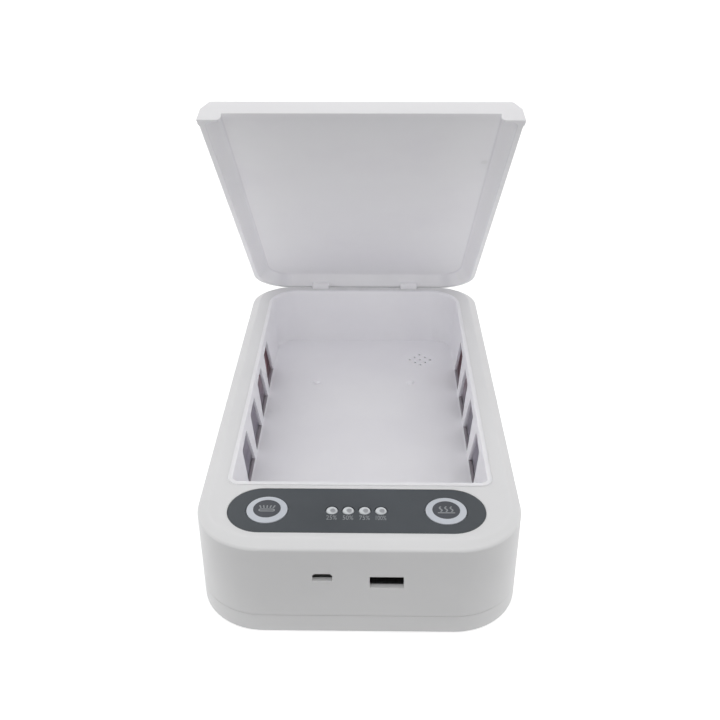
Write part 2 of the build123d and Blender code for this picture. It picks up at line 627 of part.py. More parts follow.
def build_chamber_tray():
    """Phone chamber: drafted tub with a rounded lip on the deck, lamp windows, nubs and aroma holes."""
    tub = loft([floor_plan(TRAY_WALL, TRAY_UNDERSIDE), mouth_plan(TRAY_WALL, DECK_TOP)], ruled=True)
    tub += extrude(mouth_plan(BEAD_WIDTH, DECK_TOP), amount=BEAD_HEIGHT)
    for x, y in TRAY_SCREWS:
        tub += post(x, y, TRAY_BOSS_RADIUS, POST_SPLIT, TRAY_UNDERSIDE)
    cavity = loft([floor_plan(0, FLOOR_TOP), mouth_plan(0, DECK_TOP)], ruled=True)
    cavity = fillet(cavity.faces().sort_by(Axis.Z)[0].edges(), FLOOR_EDGE_RADIUS)
    tub -= cavity
    tub -= extrude(mouth_plan(0, DECK_TOP), amount=BEAD_HEIGHT)
    tub = fillet(tub.faces().sort_by(Axis.Z)[-1].edges(), BEAD_RADIUS)

    for side in (-1, 1):
        for index in range(WINDOW_COUNT):
            tub -= window_cutter(index, side)
        nub = post(side * NUB_X, NUB_Y, NUB_RADIUS, TRAY_UNDERSIDE, FLOOR_TOP + NUB_HEIGHT)
        tub += fillet(nub.edges().group_by(Axis.Z)[-1], NUB_HEIGHT - NUB_RIM_LEFT)
    for x, y in aroma_holes():
        tub -= post(x, y, AROMA_HOLE_RADIUS, TRAY_UNDERSIDE, FLOOR_TOP)
    for x, y in TRAY_SCREWS:
        tub -= post(x, y, SCREW_RADIUS + SCREW_CLEARANCE, POST_SPLIT, POST_SPLIT + TRAY_SCREW_BITE)
    return tub


# ---------------------------------------------------------------- lid
def build_lid_shell():
    """Shallow lid, modelled closed: drafted rim, rounded roof, front ears with a notch between, knuckles."""
    front_of_trim = LID_FRONT - LID_FRONT_TRIM
    blend = LID_FRONT_TRIM / 2
    outline = plan(LID_HALF_WIDTH, front_of_trim, LID_REAR, blend, LID_REAR_RADIUS, LID_SEAT)
    lid = extrude(outline, amount=LID_TOP - LID_SEAT, taper=LID_DRAFT)
    lid = chamfer(lid.faces().sort_by(Axis.Z)[-1].edges(), LID_TOP_CHAMFER)
    shoulder = LID_TOP - LID_TOP_CHAMFER
    lid = fillet(edges_at(lid, Axis.Z, shoulder) + lid.faces().sort_by(Axis.Z)[-1].edges(), LID_TOP_BLEND)
    trim_height = (LID_SEAT - CUT_PAST, LID_TOP + CUT_PAST)
    lid -= block((-BODY_WIDTH, BODY_WIDTH), (front_of_trim - CUT_PAST, LID_FRONT), trim_height)
    roof_range = (shoulder - LID_TOP_BLEND, LID_TOP + EDGE_TOLERANCE)
    roof_edges = edges_at(lid, Axis.Y, LID_FRONT).filter_by_position(Axis.Z, *roof_range)
    lid = fillet(roof_edges, LID_FRONT_EDGE_RADIUS)
    lid -= lid_hollow()
    lid = fillet(lid.faces().sort_by(Axis.Z)[0].inner_wires()[0].edges(), LID_RIM_RADIUS)

    for side in (-1, 1):
        lid += ear_flare(side)
    notch_depth = (LID_FRONT - CUT_PAST, LID_FRONT + LID_WALL + LID_RIM_RADIUS)
    lid -= block((-EAR_INNER_X, EAR_INNER_X), notch_depth, (LID_SEAT, NOTCH_TOP))
    ear_corners = [
        edge
        for edge in lid.edges().filter_by(Axis.Y)
        if abs(abs(edge.center().X) - EAR_INNER_X) < EDGE_TOLERANCE
        and abs(edge.center().Z - LID_SEAT) < EDGE_TOLERANCE
    ]
    lid = fillet(ear_corners, EAR_CORNER_RADIUS)

    for side in (-1, 1):
        lid += knuckle(side * HINGE_X)
        x_range = (side * HINGE_X - KNUCKLE_WIDTH, side * HINGE_X + KNUCKLE_WIDTH)
        lid -= rod_along_x(PIN_RADIUS + PIN_RUNNING_CLEARANCE, *x_range, HINGE_Y, HINGE_Z)
    pocket_top = LID_TOP - LID_ROOF + MAGNET_HEIGHT
    return lid - post(MAGNET_X, MAGNET_Y, MAGNET_RADIUS + MAGNET_POCKET_GAP, LID_SEAT, pocket_top)


def lid_hollow():
    """Space under the roof: its side and hinge walls slope inwards, and blend softly into the roof."""
    foot = plan(
        LID_HALF_WIDTH - LID_WALL,
        LID_FRONT + LID_WALL,
        LID_REAR - LID_WALL,
        LID_INNER_FRONT_RADIUS,
        LID_REAR_RADIUS - LID_WALL,
        LID_SEAT,
    )
    ceiling = plan(
        LID_HALF_WIDTH - LID_WALL - LID_INNER_SLOPE,
        LID_FRONT + LID_WALL,
        LID_REAR - LID_WALL - LID_INNER_SLOPE,
        LID_INNER_FRONT_RADIUS,
        LID_REAR_RADIUS - LID_WALL - LID_INNER_SLOPE,
        LID_TOP - LID_ROOF,
    )
    hollow = loft([foot, ceiling], ruled=True)
    return fillet(hollow.faces().sort_by(Axis.Z)[-1].edges(), LID_INNER_RADIUS)


def flare_section(side, y, flare):
    """Cross-section of the lip at the foot of a front ear, at one place along the lid."""
    foot_x = LID_HALF_WIDTH + flare
    shoulder_x = LID_HALF_WIDTH - EAR_FLARE_HEIGHT * tan(radians(LID_DRAFT))
    corners = [
        (side * (shoulder_x - EAR_FLARE_ROOT), LID_SEAT),
        (side * foot_x, LID_SEAT),
        (side * shoulder_x, LID_SEAT + EAR_FLARE_HEIGHT),
        (side * (shoulder_x - EAR_FLARE_ROOT), LID_SEAT + EAR_FLARE_HEIGHT),
    ]
    return Pos(0, y, 0) * make_face(Plane.XZ * Polyline(*corners, close=True))


def ear_flare(side):
    """Small outward lip that fades out along the lid behind each front ear."""
    sections = [
        flare_section(side, LID_FRONT, EAR_FLARE),
        flare_section(side, LID_FRONT + EAR_FLARE_LENGTH * EAR_FLARE_FULL_SHARE, EAR_FLARE),
        flare_section(side, LID_FRONT + EAR_FLARE_LENGTH, EAR_FLARE_END),
    ]
    return loft(sections, ruled=True)


def knuckle(x):
    """Round hinge knuckle with the rib that joins it to the lid's rear wall."""
    low_x = x - KNUCKLE_WIDTH / 2
    barrel = rod_along_x(KNUCKLE_RADIUS, low_x, low_x + KNUCKLE_WIDTH, HINGE_Y, HINGE_Z)
    wall_front = LID_REAR - LID_WALL + KNUCKLE_RIB_SINK
    corners = [
        (HINGE_Y - KNUCKLE_RADIUS, HINGE_Z),
        (HINGE_Y - KNUCKLE_RADIUS, LID_SEAT + KNUCKLE_RIB_SINK),
        (wall_front, HINGE_Z + KNUCKLE_RIB_HEIGHT),
        (HINGE_Y + KNUCKLE_RADIUS, LID_SEAT),
        (HINGE_Y + KNUCKLE_RADIUS, HINGE_Z),
    ]
    section = Pos(low_x, 0, 0) * make_face(Plane.YZ * Polyline(*corners, close=True))
    return barrel + extrude(section, amount=KNUCKLE_WIDTH, dir=(1, 0, 0))


def build_lid_magnet():
    """Disc magnet in its pocket, flush with the roof's inner face."""
    ceiling = LID_TOP - LID_ROOF
    return post(MAGNET_X, MAGNET_Y, MAGNET_RADIUS, ceiling, ceiling + MAGNET_HEIGHT)


def build_hinge_pin(x):
    """Steel pin through the body's two blocks and the lid's knuckle."""
    reach = KNUCKLE_WIDTH / 2 + HINGE_SIDE_GAP + HINGE_BLOCK_WIDTH
    return rod_along_x(PIN_RADIUS, x - reach, x + reach, HINGE_Y, HINGE_Z)


# ---------------------------------------------------------------- controls
def build_control_panel():
    """Dark plate with half-round ends, open for the buttons and the progress lights."""
    bottom = DECK_TOP - PANEL_RECESS
    panel = stadium(PANEL_LENGTH, PANEL_WIDTH, PANEL_X, PANEL_Y, bottom, PANEL_TOP)
    for x in BUTTON_PLACES.values():
        panel -= post(x, PANEL_Y, BUTTON_RING_RADIUS + BUTTON_GAP, bottom, PANEL_TOP)
    for x in LED_PLACES:
        panel -= post(x, PANEL_Y, LED_RADIUS + LED_GAP, bottom, PANEL_TOP)
    return panel


def build_button_cap(x):
    """Dark button face with the collar that stops it under the deck and the stem that meets the switch."""
    cap = post(x, PANEL_Y, BUTTON_FACE_RADIUS, FLANGE_TOP, PANEL_TOP + BUTTON_CROWN)
    cap += post(x, PANEL_Y, BUTTON_FLANGE_RADIUS, FLANGE_BOTTOM, FLANGE_TOP)
    cap += post(x, PANEL_Y, BUTTON_STEM_RADIUS, PLUNGER_TOP, FLANGE_BOTTOM)
    return cap


def build_button_ring(x):
    """Pale light ring around the button face, its top sloping outwards and down."""
    inner = BUTTON_FACE_RADIUS + BUTTON_RING_JOINT
    corners = [
        (inner, FLANGE_TOP),
        (BUTTON_RING_RADIUS, FLANGE_TOP),
        (BUTTON_RING_RADIUS, PANEL_TOP + BUTTON_RING_EDGE),
        (inner, PANEL_TOP + BUTTON_CROWN),
    ]
    section = make_face(Plane.XZ * Polyline(*corners, close=True))
    return Pos(x, PANEL_Y, 0) * revolve(section, Axis.Z)


def build_switch(x):
    """Tactile switch body with the bore that its plunger slides in."""
    body = centred_block(x, PANEL_Y, (SWITCH_SIZE, SWITCH_SIZE, SWITCH_HEIGHT), BOARD_TOP)
    return body - post(x, PANEL_Y, PLUNGER_RADIUS + PLUNGER_GAP, SWITCH_TOP - SWITCH_BORE_DEPTH, SWITCH_TOP)


def build_plunger(x):
    """Switch plunger under the button's stem, with room below it for the whole travel."""
    low = SWITCH_TOP - SWITCH_BORE_DEPTH + BUTTON_TRAVEL + BUTTON_FLANGE_GAP
    return post(x, PANEL_Y, PLUNGER_RADIUS, low, PLUNGER_TOP)


def build_progress_led(x):
    """Round clear lamp with a domed top and a foot flange."""
    top = PANEL_TOP + LED_PROUD
    lens = post(x, PANEL_Y, LED_RADIUS, top - LED_BODY_HEIGHT, top)
    lens = fillet(lens.edges().group_by(Axis.Z)[-1], LED_DOME_RADIUS)
    flange_low = top - LED_BODY_HEIGHT
    return lens + post(x, PANEL_Y, LED_FLANGE_RADIUS, flange_low, flange_low + LED_FLANGE_HEIGHT)


def build_led_leads():
    """Two wire leads under each progress light, down through the board."""
    top = PANEL_TOP + LED_PROUD - LED_BODY_HEIGHT
    places = [(x + side * LED_LEAD_SPACING / 2) for x in LED_PLACES for side in (-1, 1)]
    return Compound([post(x, PANEL_Y, LED_LEAD_RADIUS, BOARD_UNDERSIDE, top).solid() for x in places])


# ---------------------------------------------------------------- board and what is on it
def build_control_board():
    """Printed circuit board under the deck."""
    board_width = (-BOARD_HALF_WIDTH, BOARD_HALF_WIDTH)
    board = block(board_width, (BOARD_FRONT, BOARD_REAR), (BOARD_UNDERSIDE, BOARD_TOP))
    for x, y in BOARD_SCREWS:
        board -= post(x, y, BOARD_HOLE_RADIUS + SCREW_CLEARANCE, BOARD_UNDERSIDE, BOARD_TOP)
    for x in LED_PLACES:
        for side in (-1, 1):
            lead_x = x + side * LED_LEAD_SPACING / 2
            board -= post(lead_x, PANEL_Y, LED_LEAD_RADIUS + LED_GAP, BOARD_UNDERSIDE, BOARD_TOP)
    return board


def under_board(x, y, size):
    """Component of a stated size hanging from the board's underside."""
    return centred_block(x, y, size, BOARD_UNDERSIDE - size[2])


def build_capacitor():
    """Round capacitor lying under the board."""
    z = BOARD_UNDERSIDE - CAPACITOR_RADIUS
    half = CAPACITOR_LENGTH / 2
    return rod_along_x(CAPACITOR_RADIUS, CAPACITOR_X - half, CAPACITOR_X + half, PANEL_Y, z)


def build_lamp_connectors():
    """Two lead connectors near the board's rear edge."""
    y = BOARD_REAR - CONNECTOR_INSET
    return Compound([under_board(side * CONNECTOR_X, y, CONNECTOR_SIZE).solid() for side in (-1, 1)])


# ---------------------------------------------------------------- sockets
def sheet_shell(x, z, size, front):
    """Sheet-metal sleeve of a socket, open at the front."""
    width, height, length = size
    outer = block((x - width / 2, x + width / 2), (front, front + length), (z - height / 2, z + height / 2))
    inner_x = (x - width / 2 + SHELL_SHEET, x + width / 2 - SHELL_SHEET)
    inner_z = (z - height / 2 + SHELL_SHEET, z + height / 2 - SHELL_SHEET)
    return outer - block(inner_x, (front, front + length), inner_z)


def socket_core(x, z, size, tongue, tongue_z, rear_block, front):
    """Insulating core of a socket: the block that closes the sleeve's rear, with the contact tongue."""
    width, height, length = size
    rear = front + length
    half_width = width / 2 - SHELL_SHEET
    half_height = height / 2 - SHELL_SHEET
    z_range = (z - half_height, z + half_height)
    core = block((x - half_width, x + half_width), (rear - rear_block, rear), z_range)
    tongue_front = rear - rear_block - tongue[2]
    tongue_range = (tongue_z - tongue[1] / 2, tongue_z + tongue[1] / 2)
    tongue_width = (x - tongue[0] / 2, x + tongue[0] / 2)
    return core + block(tongue_width, (tongue_front, rear - rear_block), tongue_range)


def build_usb_a_parts():
    """Sleeve and core of the power output socket; solder tabs carry the sleeve below the board."""
    shell = sheet_shell(USB_A_X, USB_A_Z, USB_A_SHELL, SOCKET_FRONT)
    half_width = USB_A_SHELL[0] / 2
    for side in (-1, 1):
        x_range = sorted((USB_A_X + side * half_width, USB_A_X + side * (half_width - SHELL_SHEET)))
        for place in SOLDER_TAB_PLACES:
            tab_start = SOCKET_FRONT + place
            shell += block(x_range, (tab_start, tab_start + SOLDER_TAB_LENGTH), (USB_A_Z, BOARD_UNDERSIDE))
    tongue_z = USB_A_Z + USB_A_TONGUE_RISE
    core = socket_core(USB_A_X, USB_A_Z, USB_A_SHELL, USB_A_TONGUE, tongue_z, USB_A_REAR_BLOCK, SOCKET_FRONT)
    return shell, core


def build_micro_usb_parts():
    """Sleeve and core of the power input socket."""
    z = BOARD_UNDERSIDE - MICRO_USB_SHELL[1] / 2
    shell = sheet_shell(MICRO_USB_X, z, MICRO_USB_SHELL, SOCKET_FRONT)
    core = socket_core(
        MICRO_USB_X,
        z,
        MICRO_USB_SHELL,
        MICRO_USB_TONGUE,
        z,
        MICRO_USB_REAR_BLOCK,
        SOCKET_FRONT,
    )
    return shell, core


# ---------------------------------------------------------------- lamps
def front_boot_range():
    """Where the front lamp boots start and end along Y, and how far they reach below the lamp."""
    rear = LAMP_FRONT + LAMP_END_GRIP
    return (rear - FRONT_BOOT_LENGTH, rear), FRONT_BOOT_DROP


def rear_boot_range():
    """Where the rear lamp boots start and end along Y, and how far they reach below the lamp."""
    front = LAMP_REAR - LAMP_END_GRIP
    return (front, front + REAR_BOOT_LENGTH), REAR_BOOT_DROP


def build_lamp(side):
    """Closed glass tube."""
    tube = rod_along_y(LAMP_RADIUS, side * LAMP_X, LAMP_FRONT, LAMP_REAR, LAMP_Z)
    inner = LAMP_RADIUS - LAMP_GLASS
    return tube - rod_along_y(inner, side * LAMP_X, LAMP_FRONT + LAMP_GLASS, LAMP_REAR - LAMP_GLASS, LAMP_Z)


def build_boot(side, y_range, drop):
    """Moulded rubber block that grips one end of a lamp."""
    x_range = sorted((side * (LAMP_X - LAMP_BOOT_WIDTH / 2), side * (LAMP_X + LAMP_BOOT_WIDTH / 2)))
    boot = block(x_range, y_range, (LAMP_Z - drop, LAMP_Z + LAMP_BOOT_RISE))
    boot = fillet(boot.edges().filter_by(Axis.Y).group_by(Axis.Z)[-1], LAMP_BOOT_RADIUS)
    return boot - rod_along_y(LAMP_RADIUS + LAMP_FIT, side * LAMP_X, LAMP_FRONT, LAMP_REAR, LAMP_Z)


def lead(points):
    """Insulated wire along straight runs joined by arcs."""
    path = FilletPolyline(*points, radius=LEAD_BEND)
    section = Plane(origin=path @ 0, z_dir=path % 0) * Circle(LEAD_RADIUS)
    return sweep(section, path).solid()


def build_lamp_leads(side):
    """Wires from a lamp's two ends to its connector under the board."""
    run_z = COVER_TOP + LEAD_RADIUS + LEAD_FLOOR_GAP
    (front_start, front_end), front_drop = front_boot_range()
    (rear_start, rear_end), rear_drop = rear_boot_range()
    connector_y = BOARD_REAR - CONNECTOR_INSET
    connector_low = BOARD_UNDERSIDE - CONNECTOR_SIZE[2]
    rear_z = LAMP_Z - rear_drop / 2
    turn_y = rear_end + LEAD_STRAIGHT
    rear_lead = lead(
        [
            (side * LAMP_X, rear_end, rear_z),
            (side * LAMP_X, turn_y, rear_z),
            (side * LAMP_X, turn_y, run_z),
            (side * LEAD_RUN_X, turn_y, run_z),
            (side * LEAD_RUN_X, connector_y, run_z),
            (side * CONNECTOR_X, connector_y, run_z),
            (side * CONNECTOR_X, connector_y, connector_low),
        ]
    )
    front_z = LAMP_Z - front_drop / 2
    entry_y = connector_y + CONNECTOR_SIZE[1] / 4
    front_lead = lead(
        [
            (side * LAMP_X, front_start, front_z),
            (side * LAMP_X, entry_y, front_z),
            (side * (CONNECTOR_X + CONNECTOR_SIZE[0] / 2), entry_y, front_z),
        ]
    )
    return Compound([rear_lead, front_lead])


def build_reflector(side):
    """Bent sheet on the housing's side wall: an upright behind the lamp and a ledge below it."""
    ledge_low = FLOOR_TOP - REFLECTOR_DROP
    y_range = (front_boot_range()[0][1] + REFLECTOR_END_GAP, rear_boot_range()[0][0] - REFLECTOR_END_GAP)
    outer_x = side * INNER_HALF_WIDTH
    upright_x = sorted((outer_x, outer_x - side * REFLECTOR_SHEET))
    ledge_x = sorted((outer_x, side * (MOUTH_HALF_WIDTH - SIDE_DRAFT + TRAY_WALL + REFLECTOR_TRAY_GAP)))
    upright = block(upright_x, y_range, (ledge_low, LAMP_Z + REFLECTOR_RISE))
    return upright + block(ledge_x, y_range, (ledge_low, ledge_low + REFLECTOR_SHEET))


# ---------------------------------------------------------------- aroma, sensor
def build_heater():
    """Flat heater disc on the floor of the aroma well."""
    return post(AROMA_X, AROMA_Y, HEATER_RADIUS, COVER_TOP, COVER_TOP + HEATER_THICKNESS)


def build_aroma_pad():
    """Absorbent pad on the heater, under the aroma holes."""
    low = COVER_TOP + HEATER_THICKNESS
    return post(AROMA_X, AROMA_Y, PAD_RADIUS, low, low + PAD_THICKNESS)


def build_lid_sensor():
    """Magnetic sensor glued under the deck, beside the tray and near the lid's magnet."""
    return centred_block(SENSOR_X, MAGNET_Y, SENSOR_SIZE, DECK_UNDERSIDE - SENSOR_SIZE[2])


# ---------------------------------------------------------------- all nodes
def build_fasteners():
    """Groups of identical screws."""
    head_face = FOOT_STANDOFF + SCREW_HEAD_DEPTH
    housing_reach = POST_SPLIT - head_face + HOUSING_SCREW_BITE - SCREW_CLEARANCE
    tray_reach = POST_SPLIT - head_face + TRAY_SCREW_BITE - SCREW_CLEARANCE
    board_reach = BOARD_THICKNESS + BOARD_SCREW_BITE - SCREW_CLEARANCE
    housing = [screw(x, y, head_face, housing_reach).solid() for x, y in HOUSING_SCREWS]
    tray = [screw(x, y, head_face, tray_reach).solid() for x, y in TRAY_SCREWS]
    board = [screw(x, y, BOARD_UNDERSIDE, board_reach).solid() for x, y in BOARD_SCREWS]
    return {
        "housing_screws": Compound(housing),
        "tray_screws": Compound(tray),
        "board_screws": Compound(board),
    }


def build_nodes():
    """Every node of the box by name."""
    usb_a_shell, usb_a_core = build_usb_a_parts()
    micro_usb_shell, micro_usb_core = build_micro_usb_parts()
    nodes = {
        "outer_housing": build_outer_housing(),
        "bottom_cover": build_bottom_cover(),
        "chamber_tray": build_chamber_tray(),
        "lid_shell": open_lid(build_lid_shell()),
        "lid_magnet": open_lid(build_lid_magnet()),
        "control_panel": build_control_panel(),
        "control_board": build_control_board(),
        "led_leads": build_led_leads(),
        "usb_a_shell": usb_a_shell,
        "usb_a_core": usb_a_core,
        "micro_usb_shell": micro_usb_shell,
        "micro_usb_core": micro_usb_core,
        "inverter_transformer": under_board(TRANSFORMER_X, PANEL_Y, TRANSFORMER_SIZE),
        "controller_chip": under_board(0, BOARD_REAR - CONNECTOR_INSET, CHIP_SIZE),
        "filter_capacitor": build_capacitor(),
        "lamp_connectors": build_lamp_connectors(),
        "aroma_heater": build_heater(),
        "aroma_pad": build_aroma_pad(),
        "lid_sensor": build_lid_sensor(),
    }
    for number, x in enumerate(LED_PLACES, 1):
        nodes[f"progress_led_{number}"] = build_progress_led(x)
    for name, x in BUTTON_PLACES.items():
        nodes[f"{name}_button_cap"] = build_button_cap(x)
        nodes[f"{name}_button_ring"] = build_button_ring(x)
        nodes[f"{name}_switch"] = build_switch(x)
        nodes[f"{name}_switch_plunger"] = build_plunger(x)
    for name, side in (("left", -1), ("right", 1)):
        nodes[f"hinge_pin_{name}"] = build_hinge_pin(side * HINGE_X)
        nodes[f"uv_lamp_{name}"] = build_lamp(side)
        nodes[f"lamp_boot_front_{name}"] = build_boot(side, *front_boot_range())
        nodes[f"lamp_boot_rear_{name}"] = build_boot(side, *rear_boot_range())
        nodes[f"lamp_leads_{name}"] = build_lamp_leads(side)
        nodes[f"lamp_reflector_{name}"] = build_reflector(side)
    for name, (x, y) in FEET.items():
        nodes[f"foot_{name}"] = build_foot(x, y)
    nodes.update(build_fasteners())
    return nodes


os.makedirs("parts", exist_ok=True)
for node_name, node_shape in build_nodes().items():
    save(node_name, node_shape)
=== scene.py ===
from math import cos, pi, radians, sin

import bmesh
import bpy
from mathutils import Matrix, Vector


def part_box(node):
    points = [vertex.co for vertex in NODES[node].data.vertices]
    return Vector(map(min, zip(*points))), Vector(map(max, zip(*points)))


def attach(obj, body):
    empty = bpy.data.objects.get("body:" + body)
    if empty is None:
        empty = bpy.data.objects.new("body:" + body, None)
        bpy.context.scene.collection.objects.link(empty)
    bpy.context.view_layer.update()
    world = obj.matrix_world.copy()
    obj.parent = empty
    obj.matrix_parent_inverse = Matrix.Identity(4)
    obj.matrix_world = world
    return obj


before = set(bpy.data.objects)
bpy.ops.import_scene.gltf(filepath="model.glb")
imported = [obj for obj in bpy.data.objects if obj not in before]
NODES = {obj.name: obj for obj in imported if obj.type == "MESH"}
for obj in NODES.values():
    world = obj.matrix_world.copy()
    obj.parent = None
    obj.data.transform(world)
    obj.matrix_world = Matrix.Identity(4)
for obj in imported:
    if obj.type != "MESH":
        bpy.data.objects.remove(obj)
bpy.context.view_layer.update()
MM = 0.001

# ---------------------------------------------------------------- camera
CAMERA_PLACE = Vector((4.978, -355.656, 255.284)) * MM
CAMERA_PITCH = 0.5117
CAMERA_YAW = 0.0166
CAMERA_ROLL = -0.0028
CAMERA_LENS = 44.955
SENSOR_WIDTH = 36.0
CLIP_START = 0.01
CLIP_END = 20.0

# ---------------------------------------------------------------- stage and light
FLOOR_SIZE = 6.0
FLOOR_ALBEDO = 0.8
# what the camera sees the floor give off, besides the light that falls on it
FLOOR_GLOW = 0.55
# light that the floor sends up: name, centre in metres, radius, strength
FLOOR_POOLS = (
    ("front_far", (0.0, -0.7), 0.3, 0.85),
    ("left", (-0.16, 0.0), 0.13, 1.35),
    ("right", (0.16, 0.0), 0.13, 1.35),
)
# light from every direction, and what is added to it from some
AMBIENT = 0.64
# name, where the light comes from, how narrow it is, strength
LIGHT_LOBES = (
    ("top", (0.0, 0.0, 1.0), 3.0, 0.17),
    ("front_high", (0.0, -0.7, 0.7), 6.0, 0.11),
    ("front_mid", (0.0, -0.9, 0.4), 8.0, 0.17),
    ("front_low", (0.0, -1.0, 0.1), 6.0, 0.10),
    ("left", (-1.0, 0.0, 0.3), 5.0, 0.60),
    ("right", (1.0, 0.0, 0.3), 5.0, 0.56),
    ("left_high", (-0.7, 0.0, 0.7), 6.0, 0.11),
    ("right_high", (0.7, 0.0, 0.7), 6.0, 0.08),
    ("rear_low", (0.0, 1.0, 0.1), 6.0, 0.14),
)

# ---------------------------------------------------------------- marks on the panel, in mm
MARK_HEIGHT = 0.05
# each part of a stroke stands a little higher than the one before, so that no two tops coincide
STROKE_STEP = 0.003
# a stroke shorter than this is left out
SHORTEST_RUN = 1e-6
ROUND_CORNERS = 8
LED_COUNT = 4
# each progress light stands for this share of the whole, in per cent
LED_SHARE = 25
NUMBER_WIDTH = 3.9
NUMBER_HEIGHT = 2.45
NUMBER_DROP = 4.3
# thickness of the figures before they are fitted to their box
TEXT_THICKNESS = 0.5
SYMBOL_WIDTH = 0.5
# lamp tube with five rays, from the middle of its button
TUBE_HALF_LENGTH = 2.3
TUBE_Y = -0.9
TUBE_RADIUS = 0.55
TUBE_END_STEPS = 6
RAYS = (-2, -1, 0, 1, 2)
RAY_FOOT_PITCH = 1.15
RAY_FOOT_Y = 0.5
RAY_TIP_PITCH = 1.4
RAY_TIP_Y = 1.7
# three waves of scent over a plate, from the middle of its button
WAVE_PLACES = (-2.0, 0.0, 2.0)
WAVE_SWING = 0.45
WAVE_FOOT_Y = -0.9
WAVE_STEPS = 10
WAVE_STEP_HEIGHT = 0.27
PLATE_HALF_LENGTH = 3.0
PLATE_Y = -1.7

# ---------------------------------------------------------------- places that a finish depends on
# middle of the darker cup in a light's lens, as shares of its width and length
LED_CUP_PLACE = (0.57, 0.38, 0.0)
# inner face of the chamber's side walls: distance from the middle at height 0, lean, thickness
WALL_FOOT = 48.28 * MM
WALL_LEAN = 0.0382
WALL_THICKNESS = 1.4 * MM
WINDOW_TOP = 38.5 * MM
# painted shade on the window edges: its colour, where in the wall it starts, its growth outwards and on
# sills
WINDOW_PAINTED_SHADE = (0.34, 0.31, 0.34)
WINDOW_PAINTED_SHADE_START = 0.03
WINDOW_PAINTED_SHADE_BY_DEPTH = 0.45
WINDOW_PAINTED_SHADE_ON_SILLS = 0.8
# where painted brown light of the lamp boots glows on the base pan
BOOT_SIDE = (50.5 * MM, 57.5 * MM)
BOOT_LENGTH = (50.0 * MM, 90.0 * MM)
BOOT_HEIGHT = (3.0 * MM, 14.0 * MM)
BOOT_LIGHT = (0.054, 0.037, 0.043)
# the lid's painted light and shade by how far a face turns sideways: level, where it starts, where it is
# full
LID_BLEND_PAINTED_SHADE = (0.93, 0.02, 0.2)
LID_SLOPE_PAINTED_LIGHT = (1.15, 0.3, 0.6)
# how far light wanders inside the white plastics, and how much of it does
MILK_DEPTH = 1.6 * MM
MILKY = 0.5
# slow variation of the plastics
CLOUD_SCALE = 30.0
CLOUD_DETAIL = 4.0
# how far roughness varies about its middle
PLASTIC_GLOSS_SPREAD = 0.06
METAL_GLOSS_SPREAD = 0.07
# sockets of the Mix node that hold colours
MIX_FIRST = 6
MIX_SECOND = 7
MIX_RESULT = 2
WHITE = (1.0, 1.0, 1.0)


def new_object(name, mesh):
    """Links a mesh as an object."""
    obj = bpy.data.objects.new(name, mesh)
    bpy.context.scene.collection.objects.link(obj)
    return obj


def make_camera():
    """The solved viewpoint of the photograph."""
    data = bpy.data.cameras.new("camera")
    data.sensor_width = SENSOR_WIDTH
    data.lens = CAMERA_LENS
    data.clip_start = CLIP_START
    data.clip_end = CLIP_END
    camera = bpy.data.objects.new("camera", data)
    bpy.context.scene.collection.objects.link(camera)
    turn = (
        Matrix.Rotation(CAMERA_YAW, 4, "Z")
        @ Matrix.Rotation(pi / 2 - CAMERA_PITCH, 4, "X")
        @ Matrix.Rotation(CAMERA_ROLL, 4, "Z")
    )
    camera.matrix_world = Matrix.Translation(CAMERA_PLACE) @ turn
    bpy.context.scene.camera = camera


# ---------------------------------------------------------------- node helpers
def math_node(tree, operation, first, second):
    """One maths node; each input is a socket or a number."""
    node = tree.nodes.new("ShaderNodeMath")
    node.operation = operation
    for slot, value in enumerate((first, second)):
        if isinstance(value, (int, float)):
            node.inputs[slot].default_value = value
        else:
            tree.links.new(value, node.inputs[slot])
    return node.outputs[0]


def seen_directly(tree):
    """1 for the camera, mirrors and glass, 0 for the light that falls on the object."""
    path = tree.nodes.new("ShaderNodeLightPath")
    seen = math_node(tree, "MAXIMUM", path.outputs["Is Camera Ray"], path.outputs["Is Glossy Ray"])
    return math_node(tree, "MAXIMUM", seen, path.outputs["Is Transmission Ray"])


def make_world():
    """Soft studio panels around the box, plain white where they are seen."""
    world = bpy.data.worlds.new("studio")
    bpy.context.scene.world = world
    world.use_nodes = True
    tree = world.node_tree
    place = tree.nodes.new("ShaderNodeTexCoord")
    total = AMBIENT
    for name, direction, tightness, strength in LIGHT_LOBES:
        dot = tree.nodes.new("ShaderNodeVectorMath")
        dot.operation = "DOT_PRODUCT"
        dot.label = name
        tree.links.new(place.outputs["Generated"], dot.inputs[0])
        dot.inputs[1].default_value = Vector(direction).normalized()
        facing = math_node(tree, "MAXIMUM", dot.outputs["Value"], 0.0)
        lobe = math_node(tree, "MULTIPLY", math_node(tree, "POWER", facing, tightness), strength)
        total = math_node(tree, "ADD", lobe, total)
    panels = tree.nodes["Background"]
    panels.inputs["Color"].default_value = (1.0, 1.0, 1.0, 1.0)
    tree.links.new(total, panels.inputs["Strength"])
    white = tree.nodes.new("ShaderNodeBackground")
    white.inputs["Color"].default_value = (1.0, 1.0, 1.0, 1.0)
    mix = tree.nodes.new("ShaderNodeMixShader")
    tree.links.new(seen_directly(tree), mix.inputs["Fac"])
    tree.links.new(panels.outputs[0], mix.inputs[1])
    tree.links.new(white.outputs[0], mix.inputs[2])
    tree.links.new(mix.outputs[0], tree.nodes["World Output"].inputs["Surface"])


